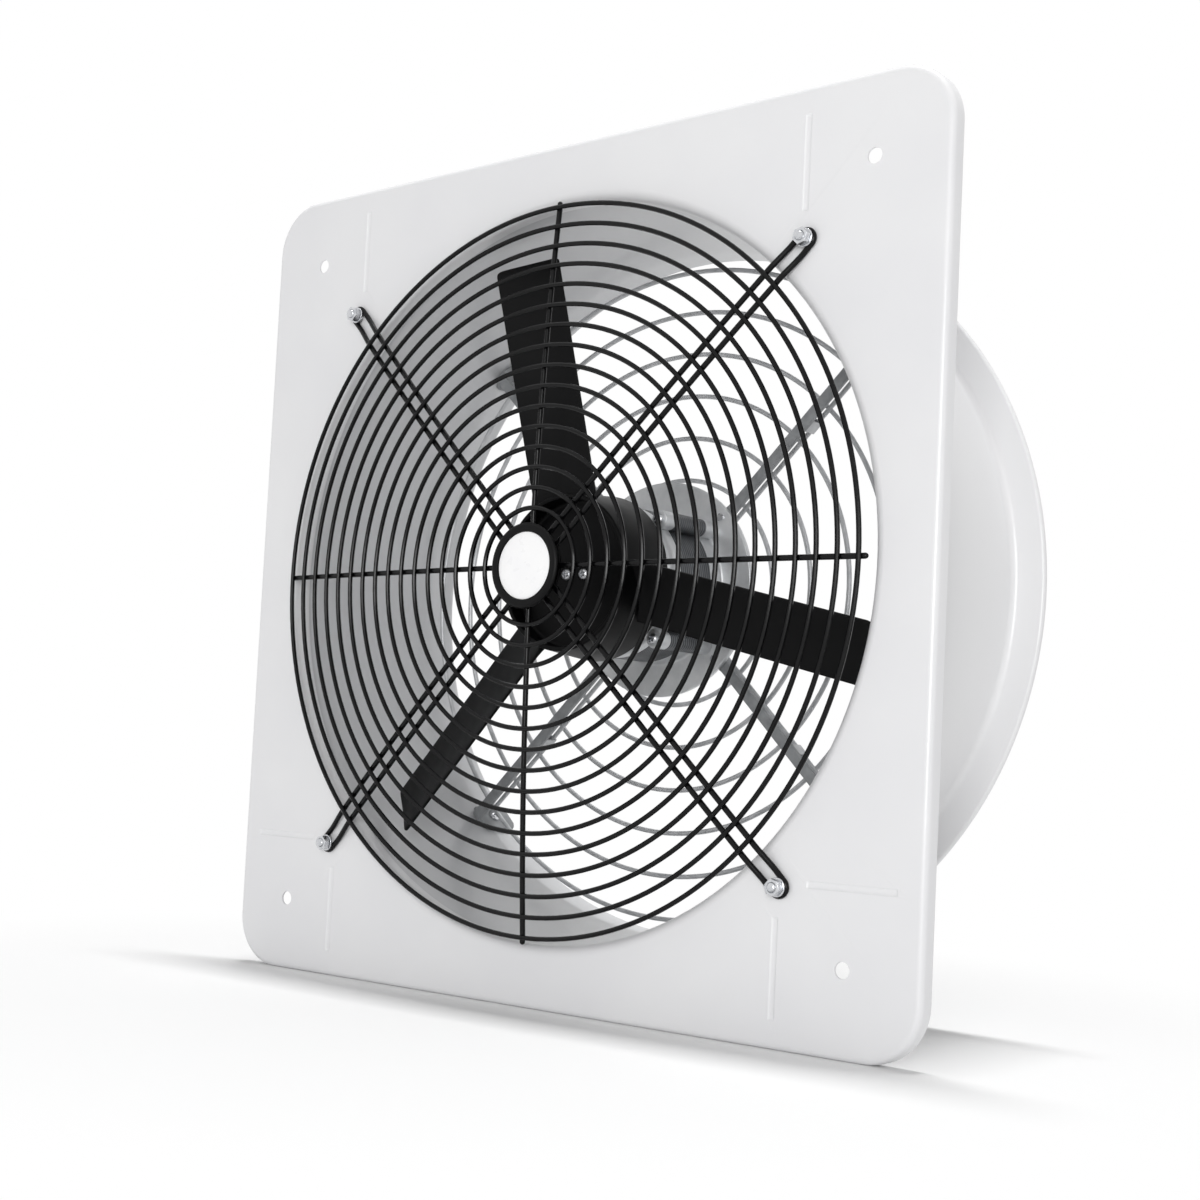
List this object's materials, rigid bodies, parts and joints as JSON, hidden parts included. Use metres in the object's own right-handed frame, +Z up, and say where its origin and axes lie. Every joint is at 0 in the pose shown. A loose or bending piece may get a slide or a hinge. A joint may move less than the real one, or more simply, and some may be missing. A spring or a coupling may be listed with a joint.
{
  "type": "window exhaust fan",
  "caption": "Square wall-plate exhaust fan: round duct behind a folded panel, domed wire guard with a bare round badge, and a bladed impeller on a motor held by flat arms.",
  "frame": {"origin": "on the fan's axis, in the plane of the wall that the panel's folded rim lies against", "axes": "+Y along the axis from the room into the wall, the way the air goes; +X to the right seen from the room; +Z up"},
  "size_m": [0.5, 0.1751, 0.5],
  "materials": {
    "white_paint": "powder coat, semi-gloss white",
    "black_wire": "black enamel over steel wire, semi-gloss",
    "black_plastic": "moulded, semi-gloss black",
    "white_plastic": "smooth white, bare",
    "zinc": "bright zinc plate",
    "cast_aluminium": "die cast, satin",
    "laminations": "stacked electrical steel",
    "steel": "ground steel",
    "copper": "enamelled copper wire, varnished",
    "arm_paint": "grey painted strip steel",
    "rear_wire": "silver-grey coated wire",
    "rubber": "moulded rubber"
  },
  "bodies": {
    "frame": {"front_panel": "white_paint", "duct_shell": "white_paint", "front_guard": "black_wire", "badge_bezel": "black_plastic", "badge_disc": "white_plastic", "badge_backplate": "black_plastic", "badge_screw": "zinc", "guard_stud_1": "zinc", "guard_stud_2": "zinc", "guard_stud_3": "zinc", "guard_stud_4": "zinc", "guard_washer_1": "zinc", "guard_washer_2": "zinc", "guard_washer_3": "zinc", "guard_washer_4": "zinc", "guard_nut_1": "zinc", "guard_nut_2": "zinc", "guard_nut_3": "zinc", "guard_nut_4": "zinc", "motor_front_cover": "cast_aluminium", "motor_rear_cover": "cast_aluminium", "stator_core": "laminations", "winding_front": "copper", "winding_rear": "copper", "front_bearing": "steel", "rear_bearing": "steel", "lead_grommet": "rubber", "motor_bolt_1": "zinc", "motor_bolt_2": "zinc", "motor_bolt_3": "zinc", "motor_bolt_4": "zinc", "arm_1": "arm_paint", "arm_2": "arm_paint", "arm_3": "arm_paint", "arm_4": "arm_paint", "arm_screw_1": "zinc", "arm_screw_2": "zinc", "arm_screw_3": "zinc", "arm_screw_4": "zinc", "foot_screw_1": "zinc", "foot_screw_2": "zinc", "foot_screw_3": "zinc", "foot_screw_4": "zinc", "rear_guard": "rear_wire", "guard_clip_1": "rear_wire", "guard_clip_2": "rear_wire", "guard_clip_3": "rear_wire", "guard_clip_4": "rear_wire"},
    "impeller": {"impeller_hub": "black_plastic", "blade_1": "black_plastic", "blade_2": "black_plastic", "blade_3": "black_plastic", "hub_bush": "cast_aluminium", "hub_screw_1": "zinc", "hub_screw_2": "zinc", "motor_shaft": "steel", "motor_rotor": "steel"}
  },
  "joints": [
    {"name": "impeller_spin", "type": "hinge", "parent": "frame", "child": "impeller", "pos_m": [0, 0, 0], "axis": [0, 1, 0], "continuous": true}
  ]
}
